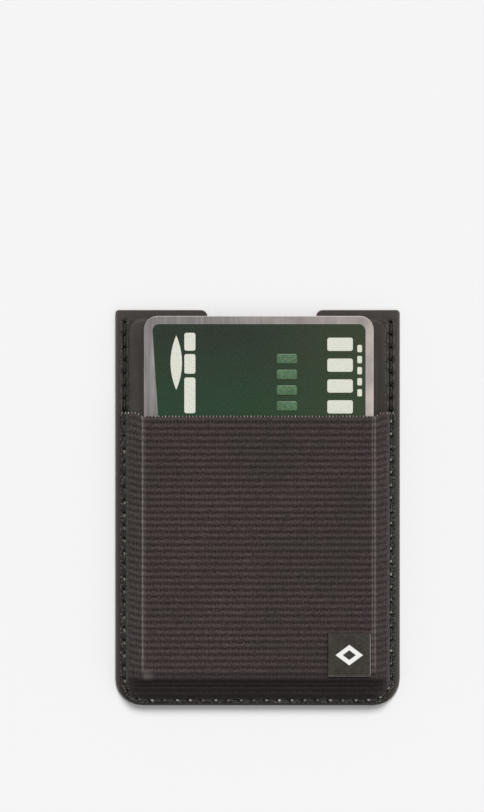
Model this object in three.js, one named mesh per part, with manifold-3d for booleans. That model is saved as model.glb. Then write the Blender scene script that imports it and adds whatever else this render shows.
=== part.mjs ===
// A slim card wallet that clings by magnets. It lies on its back: +Z points out of its
// front, +Y towards the pocket's mouth, and the origin is the middle of the back face.
// Everything is in millimetres.

import * as THREE from "three";
import { mergeVertices } from "three/addons/utils/BufferGeometryUtils.js";
import Module from "manifold-3d";

const wasm = await Module();
wasm.setup();

// Back cover: one sheet of coated leather with a thumb notch in its top edge
const coverWidth = 67.4;
const coverLength = 93.7;
const coverThick = 0.9;
const coverTopRadius = 0.8;
const coverBottomRadius = 6.4;
const coverEdgeBevel = 0.15;
const notchWidth = 25.8;
const notchDepth = 2.1;
const notchShoulder = 1.5;
const notchShift = 1.0; // how far right of the middle it was cut

// Stiff board that carries the magnets, measured from the cover's edges
const boardSideMargin = 4.4;
const boardTopMargin = 3.45;
const boardBottomMargin = 6.35;
const boardThick = 1.9;
const boardRadius = 3.0;

// Ring of arc magnets, the straight magnet below it, and their steel backing
const ringSideMargin = 2.3; // board's side to the ring
const ringTopMargin = 1.9; // board's top edge to the ring
const ringBand = 4;
const ringMagnets = 18;
const barWidth = 6;
const barMargin = 4; // left free above and below the bar
const barRadius = 0.3;
const magnetThick = 0.9;
const yokeThick = 0.4;
const magnetClearance = 0.3;

// Steel foil between the magnets and the card
const shieldMargin = 1.5;
const shieldThick = 0.3;

// Lining: a leather sheet pressed over the board and sewn to the cover
const liningThick = 0.7;
const liningSideMargin = 1.0;
const liningTopMargin = 2.05;
const liningBottomMargin = 0.8;
const liningClearance = 0.3; // to the board's edge
const liningStep = 1.35; // board's edge to the foot of the pressed step
const stepShoulder = 0.95; // board's edge to the top of the step's wall
const stepCrown = 0.6; // board's edge to the flat top
const stepRound = 0.3; // height of the rounding between the wall and the flat top

// Card
const cardSideMargin = 6.71; // a standard card's 53.98 in width is left between the two
const cardLength = 85.6;
const cardThick = 0.76;
const cardRadius = 3.18;
const cardBottomMargin = 6.5; // cover's bottom edge to the card's
const cardShift = 0.25; // how far right of the middle it sits

// Pocket: ribbed elastic webbing stretched over the card
const webbingThick = 1.0;
const webbingSideMargin = 1.2;
const webbingBottomMargin = 0.8;
const webbingCornerRadius = 5.6;
const mouthDrop = 25.15; // cover's top edge to the middle of the mouth
const mouthRise = 0.85; // how much higher the mouth stands at the two sides
const mouthEase = 1.6; // width over which it rises, from the card's edge outwards
const ribPitch = 1.515; // along the webbing, so it looks shorter on the slope at the bottom
const ribHeight = 0.3;
const ribCrest = 0.6; // share of a pitch that is flat crest
const ribFade = 1.2; // length over which the ribs rise next to a sewn edge
const cardEase = 0.3; // how far past the card's edge the webbing stays level
const drapeGap = 0.35; // between the webbing and the lining's step
const stepWallThick = 0.2; // the webbing's thickness up the step, level with the lining
const selvedge = 0.1; // how much thinner the webbing is along its cut edge
const selvedgeWidth = 0.35;
const seamLedge = 0.95; // level margin under the bottom seam
const creaseThick = 0.75; // the webbing where it folds over the lining's step
const bendThick = 0.7; // and just past that fold, at the sides
const roundUnder = 1.95; // length of the rounding over the card's lower end
const roundDrop = 0.35; // how much lower than the flat it starts
const roundEnd = 0.1; // and how much lower it is at a third of its length

// Seam round both sides and the bottom, in two threads
const seamSideMargin = 2.2;
const seamBottomMargin = 1.4;
const seamTopMargin = 2.9;
const stitchPitch = 3.0;
const threadRadius = 0.2;
const threadLift = 0.1; // half of a stitch's rise and fall
const lowerThreadLift = 0.03;
const threadClimb = 2; // length over which it climbs onto the webbing
const climbStart = 1.5; // from the webbing's edge to where that ends
const threadClearance = 0.05;
const grooveWidth = 1.0; // channel in the back for the lower thread
const grooveDepth = 0.55;

// Moulded label and the mark on it
const labelSize = 10;
const labelThick = 0.6;
const labelRadius = 0.4;
const labelEdgeBevel = 0.12;
const labelSideMargin = 7.3;
const labelBottomMargin = 7.65;
const markWidth = 6.4;
const markHeight = 4.8;
const markStroke = 1.0;
const markThick = 0.12;

// Outline quality
const cornerSteps = 6;
const ringSteps = 72;
const threadSides = 6;

// Places that follow from the sizes above
const coverHalf = coverWidth / 2;
const coverTopY = coverLength / 2;
const coverBottomY = -coverLength / 2;
const board = {
  halfWidth: coverHalf - boardSideMargin,
  top: coverTopY - boardTopMargin,
  bottom: coverBottomY + boardBottomMargin,
  radius: boardRadius,
};
const boardUnderZ = coverThick;
const boardTopZ = boardUnderZ + boardThick;
const shieldTopZ = boardTopZ + shieldThick;
const flangeZ = coverThick + liningThick;
const liningTopZ = shieldTopZ + liningThick;
const cardTopZ = liningTopZ + cardThick;
const webFlangeZ = flangeZ + webbingThick;
const webTopZ = cardTopZ + webbingThick;
const crestZ = webTopZ + ribHeight;
const labelTopZ = crestZ + labelThick;
const ringOuter = 2 * (board.halfWidth - ringSideMargin);
const ringInner = ringOuter - 2 * ringBand;
const ringCentreY = board.top - ringTopMargin - ringOuter / 2;
const ringBottomY = ringCentreY - ringOuter / 2;
const barLength = ringBottomY - board.bottom - 2 * barMargin;
const barCentreY = (ringBottomY + board.bottom) / 2;
const cardWidth = coverWidth - 2 * cardSideMargin;
const cardBottomY = coverBottomY + cardBottomMargin;
const mouthY = coverTopY - mouthDrop;

const coatedLeather = new THREE.MeshStandardMaterial({ color: 0x46433f, roughness: 0.55, metalness: 0 });
const liningLeather = new THREE.MeshStandardMaterial({ color: 0x45413d, roughness: 0.6, metalness: 0 });
const boardPlastic = new THREE.MeshStandardMaterial({ color: 0x1f2022, roughness: 0.5, metalness: 0 });
const nickel = new THREE.MeshStandardMaterial({ color: 0xb9babd, roughness: 0.25, metalness: 1 });
const steel = new THREE.MeshStandardMaterial({ color: 0x8d8f92, roughness: 0.35, metalness: 1 });
const elastic = new THREE.MeshStandardMaterial({ color: 0x3f3738, roughness: 0.85, metalness: 0 });
const sewingThread = new THREE.MeshStandardMaterial({ color: 0x2b2824, roughness: 0.6, metalness: 0 });
const labelRubber = new THREE.MeshStandardMaterial({ color: 0x3e3b36, roughness: 0.6, metalness: 0 });
const markRubber = new THREE.MeshStandardMaterial({ color: 0xf0eee8, roughness: 0.5, metalness: 0 });
const cardPlastic = new THREE.MeshStandardMaterial({ color: 0xb4aaa7, roughness: 0.35, metalness: 0.3 });

const wallet = new THREE.Group();

// Points along an arc, both ends included
function arc(x, y, radius, from, to, steps = cornerSteps) {
  return Array.from({ length: steps + 1 }, (_, i) => {
    const angle = from + ((to - from) * i) / steps;
    return new THREE.Vector2(x + radius * Math.cos(angle), y + radius * Math.sin(angle));
  });
}

// Anticlockwise outline with its own radius at the top and the bottom corners
function roundedOutline({ halfWidth, top, bottom, topRadius, bottomRadius }) {
  const turn = Math.PI / 2;
  return [
    ...arc(halfWidth - bottomRadius, bottom + bottomRadius, bottomRadius, -turn, 0),
    ...arc(halfWidth - topRadius, top - topRadius, topRadius, 0, turn),
    ...arc(-halfWidth + topRadius, top - topRadius, topRadius, turn, 2 * turn),
    ...arc(-halfWidth + bottomRadius, bottom + bottomRadius, bottomRadius, 2 * turn, 3 * turn),
  ];
}

function plate(points, thickness, { bevel = 0, holes = [] } = {}) {
  const shape = new THREE.Shape(points);
  shape.holes = holes.map((hole) => new THREE.Path(hole));
  const geometry = new THREE.ExtrudeGeometry(shape, {
    depth: thickness - 2 * bevel,
    bevelEnabled: bevel > 0,
    bevelThickness: bevel,
    bevelSize: bevel,
    bevelOffset: -bevel,
    bevelSegments: 1,
  });
  return geometry.translate(0, 0, bevel);
}

function toSolid(geometry) {
  const bare = geometry.clone();
  bare.deleteAttribute("normal");
  bare.deleteAttribute("uv");
  const merged = mergeVertices(bare, 1e-5);
  return new wasm.Manifold(
    new wasm.Mesh({
      numProp: 3,
      vertProperties: new Float32Array(merged.attributes.position.array),
      triVerts: new Uint32Array(merged.index.array),
    }),
  );
}

function toGeometry(solid) {
  const { vertProperties, triVerts } = solid.getMesh();
  const geometry = new THREE.BufferGeometry();
  geometry.setAttribute("position", new THREE.BufferAttribute(vertProperties, 3));
  geometry.setIndex(new THREE.BufferAttribute(triVerts, 1));
  return geometry;
}

// Closed surface from loose points and faces, turned so that its faces point out
function closedSurface(points, faces) {
  let volume = 0;
  for (const [a, b, c] of faces) {
    volume += points[a].dot(points[b].clone().cross(points[c]));
  }
  const outward = volume < 0 ? faces.map(([a, b, c]) => [a, c, b]) : faces;
  const geometry = new THREE.BufferGeometry().setFromPoints(points);
  geometry.setIndex(outward.flat());
  return geometry;
}

function add(name, geometry, material, group = wallet) {
  geometry.computeVertexNormals();
  const mesh = new THREE.Mesh(geometry, material);
  mesh.name = name;
  group.add(mesh);
  return mesh;
}

// The seam runs down the left side, round the bottom and up the right side
function seamPath() {
  const halfWidth = coverHalf - seamSideMargin;
  const top = coverTopY - seamTopMargin;
  const bottom = coverBottomY + seamBottomMargin;
  const centre = webbingCorner();
  const acrossRadius = halfWidth - centre.x;
  const downRadius = centre.y - bottom;
  const path = new THREE.CurvePath();
  const line = (x0, y0, x1, y1) =>
    path.add(new THREE.LineCurve(new THREE.Vector2(x0, y0), new THREE.Vector2(x1, y1)));
  const corner = (x, from) =>
    path.add(
      new THREE.EllipseCurve(x, centre.y, acrossRadius, downRadius, from, from + Math.PI / 2),
    );
  line(-halfWidth, top, -halfWidth, centre.y);
  corner(-centre.x, Math.PI);
  line(-centre.x, bottom, centre.x, bottom);
  corner(centre.x, 1.5 * Math.PI);
  line(halfWidth, centre.y, halfWidth, top);
  return path;
}

// Closed outline of a band of the given width that follows a path
function bandOutline(path, width) {
  const points = path.getPoints(cornerSteps);
  const sides = points.map((point, i) => {
    const before = points[Math.max(i - 1, 0)];
    const after = points[Math.min(i + 1, points.length - 1)];
    const across = after.clone().sub(before).normalize().multiplyScalar(width / 2);
    across.set(-across.y, across.x);
    return [point.clone().add(across), point.clone().sub(across)];
  });
  return [...sides.map(([left]) => left), ...sides.map(([, right]) => right).reverse()];
}

function coverOutline() {
  const turn = Math.PI / 2;
  const right = notchShift + notchWidth / 2;
  const left = notchShift - notchWidth / 2;
  const outer = roundedOutline({
    halfWidth: coverHalf,
    top: coverTopY,
    bottom: coverBottomY,
    topRadius: coverTopRadius,
    bottomRadius: coverBottomRadius,
  });
  const shoulderY = coverTopY - notchShoulder;
  const floorY = coverTopY - notchDepth;
  const notch = [
    ...arc(right + notchShoulder, shoulderY, notchShoulder, turn, 2 * turn, 4),
    new THREE.Vector2(right, floorY),
    new THREE.Vector2(left, floorY),
    ...arc(left - notchShoulder, shoulderY, notchShoulder, 0, turn, 4),
  ];
  const throughTopRight = 2 * (cornerSteps + 1);
  return [...outer.slice(0, throughTopRight), ...notch, ...outer.slice(throughTopRight)];
}

function backCover() {
  const sheet = plate(coverOutline(), coverThick, { bevel: coverEdgeBevel });
  const channel = plate(bandOutline(seamPath(), grooveWidth), 2 * grooveDepth);
  channel.translate(0, 0, -grooveDepth);
  return toGeometry(toSolid(sheet).subtract(toSolid(channel)));
}

function circle(radius, x = 0, y = 0) {
  return arc(x, y, radius, 0, 2 * Math.PI, ringSteps).slice(0, -1);
}

function rectangle(width, height, x = 0, y = 0) {
  return roundedOutline({
    halfWidth: width / 2,
    top: height / 2,
    bottom: -height / 2,
    topRadius: barRadius,
    bottomRadius: barRadius,
  }).map((point) => point.add(new THREE.Vector2(x, y)));
}

function boardOutline(inset) {
  return roundedOutline({
    halfWidth: board.halfWidth - inset,
    top: board.top - inset,
    bottom: board.bottom + inset,
    topRadius: board.radius,
    bottomRadius: board.radius,
  });
}

// The board's pockets open towards the back cover and have the yokes at their far end
function magnetBoard() {
  const pocketDepth = magnetThick + yokeThick;
  const ringPocket = plate(circle(ringOuter / 2 + magnetClearance), 2 * pocketDepth, {
    holes: [circle(ringInner / 2 - magnetClearance)],
  });
  ringPocket.translate(0, ringCentreY, -pocketDepth);
  const barPocket = plate(
    rectangle(barWidth + 2 * magnetClearance, barLength + 2 * magnetClearance),
    2 * pocketDepth,
  );
  barPocket.translate(0, barCentreY, -pocketDepth);
  const solid = toSolid(plate(boardOutline(0), boardThick));
  return toGeometry(solid.subtract(toSolid(ringPocket)).subtract(toSolid(barPocket)));
}

// One arc of the ring, centred on the +X direction
function arcMagnet() {
  const middle = (ringInner + ringOuter) / 4;
  const half = Math.PI / ringMagnets - magnetClearance / 2 / middle;
  const steps = 4;
  return plate(
    [
      ...arc(0, 0, ringOuter / 2, -half, half, steps),
      ...arc(0, 0, ringInner / 2, half, -half, steps),
    ],
    magnetThick,
  );
}

// Rings of points of equal count, each joined to the next, with the first and last filled
function loft(rings) {
  const count = rings[0].length;
  const faces = [];
  for (let r = 0; r < rings.length - 1; r += 1) {
    for (let i = 0; i < count; i += 1) {
      const j = (i + 1) % count;
      const [a, b] = [r * count + i, r * count + j];
      faces.push([a, b, b + count], [a, b + count, a + count]);
    }
  }
  const last = (rings.length - 1) * count;
  const fill = (ring) =>
    THREE.ShapeUtils.triangulateShape(ring.map(({ x, y }) => new THREE.Vector2(x, y)), []);
  faces.push(...fill(rings[0]).map(([a, b, c]) => [a, c, b]));
  faces.push(...fill(rings.at(-1)).map((face) => face.map((i) => i + last)));
  return closedSurface(rings.flat(), faces);
}

// The lining is flat over the board, steps down round it and ends in a sewn flange
function lining() {
  const around = (reach, radius, z) =>
    roundedOutline({
      halfWidth: board.halfWidth + reach,
      top: board.top + reach,
      bottom: board.bottom - reach,
      topRadius: radius,
      bottomRadius: radius,
    }).map(({ x, y }) => new THREE.Vector3(x, y, z));
  const edge = (z) =>
    roundedOutline({
      halfWidth: coverHalf - liningSideMargin,
      top: coverTopY - liningTopMargin,
      bottom: coverBottomY + liningBottomMargin,
      topRadius: coverTopRadius,
      bottomRadius: coverBottomRadius - liningBottomMargin,
    }).map(({ x, y }) => new THREE.Vector3(x, y, z));
  return loft([
    around(liningClearance, boardRadius, shieldTopZ),
    around(liningClearance, boardRadius, coverThick),
    edge(coverThick),
    edge(flangeZ),
    around(liningStep, boardRadius, flangeZ),
    around(stepShoulder, boardRadius, liningTopZ - stepRound),
    around(stepCrown, boardRadius, liningTopZ),
  ]);
}

const webHalf = coverHalf - webbingSideMargin;
const webBottomY = coverBottomY + webbingBottomMargin;

function webbingCorner() {
  return new THREE.Vector2(
    coverHalf - webbingSideMargin - webbingCornerRadius,
    coverBottomY + webbingBottomMargin + webbingCornerRadius,
  );
}

// Half width of the webbing at a height, and its lowest point at a distance from the middle
function webEdgeX(y) {
  const centre = webbingCorner();
  const down = Math.max(centre.y - y, 0);
  return centre.x + Math.sqrt(Math.max(webbingCornerRadius ** 2 - down ** 2, 0));
}

function webEdgeY(x) {
  const centre = webbingCorner();
  const out = Math.min(Math.max(Math.abs(x) - centre.x, 0), webbingCornerRadius);
  return centre.y - Math.sqrt(webbingCornerRadius ** 2 - out ** 2);
}

// Height at a distance, along straight stretches between [distance, height] points
function along(points, distance) {
  const next = points.findIndex(([d]) => d > distance);
  if (next < 0) return points.at(-1)[1];
  if (next === 0) return points[0][1];
  const [[d0, z0], [d1, z1]] = [points[next - 1], points[next]];
  return z0 + ((z1 - z0) * (distance - d0)) / (d1 - d0);
}

// Cross sections of the webbing as [distance in from its edge, height]
const shoulderIn = webHalf - board.halfWidth - stepShoulder;
const footIn = webHalf - board.halfWidth - liningStep - drapeGap;
const sideFootIn = footIn - stepWallThick;
const sideStepIn = shoulderIn - drapeGap / 2 - stepWallThick;
const sideBendIn = shoulderIn + stepWallThick / 2;
const bottomShoulderIn = board.bottom - stepShoulder - webBottomY;
const bottomCrownIn = board.bottom - stepCrown - webBottomY;
const bottomCardIn = cardBottomY - cardEase - webBottomY;

function ridgeIn(side) {
  return webHalf - cardWidth / 2 - cardEase - side * cardShift;
}

function sideUnder(side) {
  return [
    [0, flangeZ],
    [footIn, flangeZ],
    [shoulderIn - drapeGap / 2, liningTopZ + drapeGap / 2],
    [ridgeIn(side), cardTopZ],
  ];
}

function sideTop(side) {
  return [
    [0, webFlangeZ - selvedge],
    [selvedgeWidth, webFlangeZ],
    [sideFootIn, webFlangeZ],
    [sideStepIn, liningTopZ + creaseThick * webbingThick],
    [sideBendIn, liningTopZ + drapeGap + bendThick * webbingThick],
    [ridgeIn(side), webTopZ],
  ];
}

const bottomUnder = [
  [0, flangeZ],
  [seamLedge - selvedge, flangeZ],
  [bottomShoulderIn - drapeGap, liningTopZ],
  [bottomCrownIn, liningTopZ + drapeGap],
  [bottomCardIn, cardTopZ],
];

const bottomTop = [
  [0, webFlangeZ - selvedge],
  [selvedgeWidth, webFlangeZ],
  [seamLedge, webFlangeZ],
  [bottomShoulderIn, liningTopZ + creaseThick * webbingThick],
  [bottomCrownIn + drapeGap, webTopZ - roundDrop],
  [bottomCardIn + roundUnder / 3, webTopZ - roundEnd],
  [bottomCardIn + roundUnder, webTopZ],
];

function ramp(value, low, high) {
  const t = Math.min(Math.max((value - low) / (high - low), 0), 1);
  return t * t * (3 - 2 * t);
}

// The mouth and the ribs stand higher at the sides, where the card doesn't stretch them
function liftedY(x, y) {
  const side = Math.sign(x) || 1;
  const beyondRidge = Math.abs(x) - (webHalf - ridgeIn(side));
  const fromBottom = ramp(y, webBottomY + seamLedge, webBottomY + 2 * webbingCornerRadius);
  return y + mouthRise * ramp(beyondRidge, 0, mouthEase) * fromBottom;
}

function webPoint(inset, side, rowY, sectionAcross, sectionDown, rib) {
  const straightX = webEdgeX(rowY) - inset(side);
  const y = liftedY(side * straightX, rowY);
  const across = webEdgeX(y) - straightX;
  const down = y - webEdgeY(straightX);
  const low = Math.min(along(sectionAcross(side), across), along(sectionDown, down));
  const rise = ramp(across, footIn, footIn + ribFade) * ramp(down, seamLedge, seamLedge + ribFade);
  return new THREE.Vector3(side * straightX, y, low + rib * ribHeight * rise);
}

// Columns from the left edge to the right edge, as insets from the nearer edge
function webColumns() {
  const insets = [
    () => 0,
    () => selvedgeWidth,
    () => sideFootIn,
    () => sideStepIn,
    () => sideBendIn,
    (side) => (shoulderIn + ridgeIn(side)) / 2,
    (side) => ridgeIn(side) - cardEase,
    (side) => ridgeIn(side),
    (side) => ridgeIn(side) + 2 * cardEase,
  ];
  return [
    ...insets.map((inset) => ({ inset, side: -1 })),
    ...insets.reverse().map((inset) => ({ inset, side: 1 })),
  ];
}

// Heights above the bottom edge that follow the rounded corner in even turns
const cornerInsets = Array.from({ length: cornerSteps }, (_, i) => {
  const turn = ((i + 1) * Math.PI) / 2 / cornerSteps;
  return webbingCornerRadius * (1 - Math.cos(turn));
});

// Distance above the bottom edge that a length of webbing, laid from the mouth, reaches
function insetAfter(length) {
  const bends = [[mouthY - webBottomY, webTopZ], ...[...bottomTop].reverse()];
  let rest = length;
  for (let i = 0; i < bends.length - 1; i += 1) {
    const plan = bends[i][0] - bends[i + 1][0];
    const laid = Math.hypot(plan, bends[i][1] - bends[i + 1][1]);
    if (rest <= laid) return bends[i][0] - (plan * rest) / laid;
    rest -= laid;
  }
  return 0;
}

// Rows from the mouth to the bottom edge, three to a rib: valley, crest, crest
function ribRows() {
  const rows = [];
  for (let laid = 0; insetAfter(laid + ribPitch) > seamLedge; laid += ribPitch) {
    rows.push([insetAfter(laid), 0]);
    rows.push([insetAfter(laid + (ribPitch * (1 - ribCrest)) / 2), 1]);
    rows.push([insetAfter(laid + (ribPitch * (1 + ribCrest)) / 2), 1]);
  }
  const last = [seamLedge + selvedge, seamLedge, cornerInsets[1], selvedgeWidth, cornerInsets[0], 0];
  rows.push(...last.map((inset) => [inset, 0]));
  return rows.map(([inset, rib]) => [webBottomY + inset, rib]);
}

// Rows of the flat underside, at the bends of its section and round its corners
function underRows() {
  const bends = bottomUnder.map(([inset]) => inset);
  const insets = [...bends, ...cornerInsets, 2 * webbingCornerRadius].sort((a, b) => b - a);
  return [mouthY, ...insets.map((inset) => webBottomY + inset)];
}

// Two faces of a sheet, row by row, joined round their edges. The faces share their
// columns, and where their rows differ the side walls are zipped together.
function sheetBetween(topRows, lowRows) {
  const columns = topRows[0].length;
  const points = [...topRows.flat(), ...lowRows.flat()];
  const lowStart = topRows.length * columns;
  const faces = [];
  const quads = (start, rowCount, flip) => {
    for (let r = 0; r < rowCount - 1; r += 1) {
      for (let c = 0; c < columns - 1; c += 1) {
        const a = start + r * columns + c;
        const corners = [a, a + 1, a + columns + 1, a + columns];
        const [p, q, s, t] = flip ? corners.reverse() : corners;
        faces.push([p, q, s], [p, s, t]);
      }
    }
  };
  quads(0, topRows.length, false);
  quads(lowStart, lowRows.length, true);
  const endWall = (topRow, lowRow, flip) => {
    for (let c = 0; c < columns - 1; c += 1) {
      const [a, b] = [topRow * columns + c, lowStart + lowRow * columns + c];
      const corners = [a, b, b + 1, a + 1];
      const [p, q, s, t] = flip ? corners.reverse() : corners;
      faces.push([p, q, s], [p, s, t]);
    }
  };
  endWall(0, 0, false);
  endWall(topRows.length - 1, lowRows.length - 1, true);
  const sideWall = (column, flip) => {
    let [t, l] = [0, 0];
    const top = (i) => i * columns + column;
    const low = (i) => lowStart + i * columns + column;
    while (t < topRows.length - 1 || l < lowRows.length - 1) {
      const topNext = topRows[t + 1]?.[column].y ?? -Infinity;
      const lowNext = lowRows[l + 1]?.[column].y ?? -Infinity;
      const onTop = topNext >= lowNext;
      const face = onTop ? [top(t), top(t + 1), low(l)] : [top(t), low(l + 1), low(l)];
      faces.push(flip ? face.reverse() : face);
      if (onTop) t += 1;
      else l += 1;
    }
  };
  sideWall(0, false);
  sideWall(columns - 1, true);
  return closedSurface(points, faces);
}

function pocketWebbing() {
  const columns = webColumns();
  const topRows = ribRows().map(([y, rib]) =>
    columns.map(({ inset, side }) => webPoint(inset, side, y, sideTop, bottomTop, rib)),
  );
  const lowRows = underRows().map((y) =>
    columns.map(({ inset, side }) => webPoint(inset, side, y, sideUnder, bottomUnder, 0)),
  );
  return sheetBetween(topRows, lowRows);
}

// A thread that follows the seam at a height, rising and falling once in each stitch
class StitchLine extends THREE.Curve {
  constructor(path, stitches, heightAt, lift) {
    super();
    Object.assign(this, { path, stitches, heightAt, lift });
  }

  getPoint(t, target = new THREE.Vector3()) {
    const { x, y } = this.path.getPoint(Math.min(Math.max(t, 0), 1));
    const wave = this.lift * Math.cos(2 * Math.PI * this.stitches * t);
    return target.set(x, y, this.heightAt(x, y) + wave);
  }

  // The path is already even along its length, so each stitch gets the same steps
  getUtoTmapping(u) {
    return u;
  }
}

function seamThread(radius, heightAt, lift) {
  const path = seamPath();
  const stitches = Math.round(path.getLength() / stitchPitch);
  const section = arc(0, 0, radius, 0, 2 * Math.PI, threadSides).slice(0, -1);
  return new THREE.ExtrudeGeometry(new THREE.Shape(section), {
    steps: 2 * stitches,
    extrudePath: new StitchLine(path, stitches, heightAt, lift),
  });
}

// The upper thread lies on the lining, and climbs onto the webbing where its edge begins
function upperThreadZ(x, y) {
  const rest = threadRadius + threadLift + threadClearance;
  const edge = mouthY + mouthRise;
  const onWebbing = 1 - ramp(y, edge + climbStart, edge + climbStart + threadClimb);
  return rest + flangeZ + (webFlangeZ - flangeZ) * onWebbing;
}

function lowerThreadZ() {
  return grooveDepth / 2;
}

function markOutline(inset) {
  const slope = Math.hypot(markWidth, markHeight) / markHeight;
  const acrossInset = inset * slope;
  const halfWidth = markWidth / 2 - acrossInset;
  const halfHeight = (halfWidth * markHeight) / markWidth;
  return [
    new THREE.Vector2(halfWidth, 0),
    new THREE.Vector2(0, halfHeight),
    new THREE.Vector2(-halfWidth, 0),
    new THREE.Vector2(0, -halfHeight),
  ];
}

add("back_cover", backCover(), coatedLeather);

add("magnet_board", magnetBoard(), boardPlastic).position.z = boardUnderZ;

const ring = new THREE.Group();
ring.position.set(0, ringCentreY, boardUnderZ);
wallet.add(ring);
for (let i = 0; i < ringMagnets; i += 1) {
  const number = String(i + 1).padStart(2, "0");
  const magnet = add(`ring_magnet_${number}`, arcMagnet(), nickel, ring);
  magnet.rotation.z = ((i + 0.5) * 2 * Math.PI) / ringMagnets;
}
const ringYoke = plate(circle(ringOuter / 2), yokeThick, { holes: [circle(ringInner / 2)] });
add("ring_yoke", ringYoke, steel, ring).position.z = magnetThick;

const bar = new THREE.Group();
bar.position.set(0, barCentreY, boardUnderZ);
wallet.add(bar);
add("bar_magnet", plate(rectangle(barWidth, barLength), magnetThick), nickel, bar);
add("bar_yoke", plate(rectangle(barWidth, barLength), yokeThick), steel, bar).position.z = magnetThick;

add("shield_foil", plate(boardOutline(shieldMargin), shieldThick), steel).position.z = boardTopZ;
add("lining", lining(), liningLeather);
add("pocket_webbing", pocketWebbing(), elastic);
add("upper_thread", seamThread(threadRadius, upperThreadZ, threadLift), sewingThread);
add("lower_thread", seamThread(threadRadius, lowerThreadZ, lowerThreadLift), sewingThread);

const cardOutline = roundedOutline({
  halfWidth: cardWidth / 2,
  top: cardLength / 2,
  bottom: -cardLength / 2,
  topRadius: cardRadius,
  bottomRadius: cardRadius,
});
const card = add("card", plate(cardOutline, cardThick), cardPlastic);
card.position.set(cardShift, cardBottomY + cardLength / 2, liningTopZ);

const label = new THREE.Group();
label.position.set(
  coverHalf - labelSideMargin - labelSize / 2,
  coverBottomY + labelBottomMargin + labelSize / 2,
  crestZ,
);
wallet.add(label);
const labelOutline = roundedOutline({
  halfWidth: labelSize / 2,
  top: labelSize / 2,
  bottom: -labelSize / 2,
  topRadius: labelRadius,
  bottomRadius: labelRadius,
});
add("label_patch", plate(labelOutline, labelThick, { bevel: labelEdgeBevel }), labelRubber, label);
const mark = plate(markOutline(0), markThick, { holes: [markOutline(markStroke)] });
add("label_mark", mark, markRubber, label).position.z = labelThick;

export default wallet;
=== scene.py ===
import math

import bmesh
import bpy
import numpy as np
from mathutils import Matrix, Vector


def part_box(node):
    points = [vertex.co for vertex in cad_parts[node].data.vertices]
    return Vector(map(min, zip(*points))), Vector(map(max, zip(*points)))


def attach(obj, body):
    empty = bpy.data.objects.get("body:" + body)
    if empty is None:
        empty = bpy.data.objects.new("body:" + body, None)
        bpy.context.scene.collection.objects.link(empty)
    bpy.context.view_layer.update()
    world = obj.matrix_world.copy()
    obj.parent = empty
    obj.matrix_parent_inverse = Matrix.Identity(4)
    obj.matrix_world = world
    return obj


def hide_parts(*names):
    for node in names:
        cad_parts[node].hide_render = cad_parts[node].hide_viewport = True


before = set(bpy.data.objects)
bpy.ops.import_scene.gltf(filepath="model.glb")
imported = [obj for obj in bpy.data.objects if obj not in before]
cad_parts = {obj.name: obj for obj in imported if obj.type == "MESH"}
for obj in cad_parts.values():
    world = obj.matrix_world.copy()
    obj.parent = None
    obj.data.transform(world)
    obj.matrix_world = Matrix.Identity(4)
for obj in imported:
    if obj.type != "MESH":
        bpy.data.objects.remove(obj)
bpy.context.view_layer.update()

# A card wallet lies on its back: +Z out of its front, +Y towards the pocket's mouth.
# Lengths are in metres, and MM turns a size in millimetres into one.
MM = 0.001

# Places that the solids give
cover_low, cover_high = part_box("back_cover")
lining_low, lining_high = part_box("lining")
board_low, board_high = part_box("magnet_board")
card_low, card_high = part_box("card")
web_low, web_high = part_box("pocket_webbing")
label_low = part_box("label_patch")[0]
foil_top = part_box("shield_foil")[1][2]

# Webbing: its section, repeated from the solid and rounded here
WEB_THICK = 1.0 * MM
WEB_CORNER = 5.6 * MM
RIB_PITCH = 1.515 * MM
RIB_HEIGHT = 0.3 * MM
RIB_FADE = 1.2 * MM
CARD_EASE = 0.3 * MM
DRAPE_GAP = 0.35 * MM
SELVEDGE = 0.1 * MM
SELVEDGE_WIDTH = 0.35 * MM
MOUTH_RISE = 0.85 * MM
MOUTH_EASE = 1.6 * MM
SEAM_LEDGE = 0.95 * MM
FOLD_EASE = 0.2 * MM  # before a fold, where the webbing starts to bend
BEND_EASE = 0.1 * MM  # past the step's wall, where it has bent
SIDE_CREASE = 0.75  # share of the thickness left in the fold over the step at the sides
BOTTOM_CREASE = 0.72  # and at the bottom
SIDE_BEND = 0.7  # and just past the fold at the sides
RIDGE_LEAD = 0.5 * MM  # before the card's edge, where the webbing is nearly up
RIDGE_DROP = 0.1 * MM
RIDGE_PROUD = 0.06 * MM  # how far the ridge over the card's edge stands proud
RIDGE_FALL = 1.2 * MM
ROUND_DROP = 0.35 * MM  # rounding over the card's lower end: how much lower it starts
ROUND_THIRD = 0.65 * MM
ROUND_END = 0.1 * MM  # and how much lower it still is at a third of its length
ROUND_UNDER = 1.95 * MM

# Webbing: its weave
COLUMN_PITCH = 0.8 * MM  # distance between the warp yarns
COLUMN_HEIGHT = 0.05 * MM
COLUMN_STEPS = 4
ROWS_PER_RIB = 6
CREST_SHAPE = 0.7  # less than 1 makes crests broader than gaps
GAP_SHARE = 1.4  # how much deeper yarns are between two crests than on one
FUZZ = 0.05 * MM
SLOPE_EASE = 4.4 * MM
SLOPE_START = 6 * MM  # below the mouth, where the ribs climb over the whole slope
DRAWN_IN = 9 * MM  # width at each side over which columns bend round a corner
MOUTH_ROUND = 0.35 * MM
MOUTH_DROP = 0.3 * MM
UNDER_GAP = 0.02 * MM
PLAIN_SHARE = 0.8  # share of the underside's length that needs few rows
PLAIN_ROWS = 10
BENT_ROWS = 28

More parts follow.
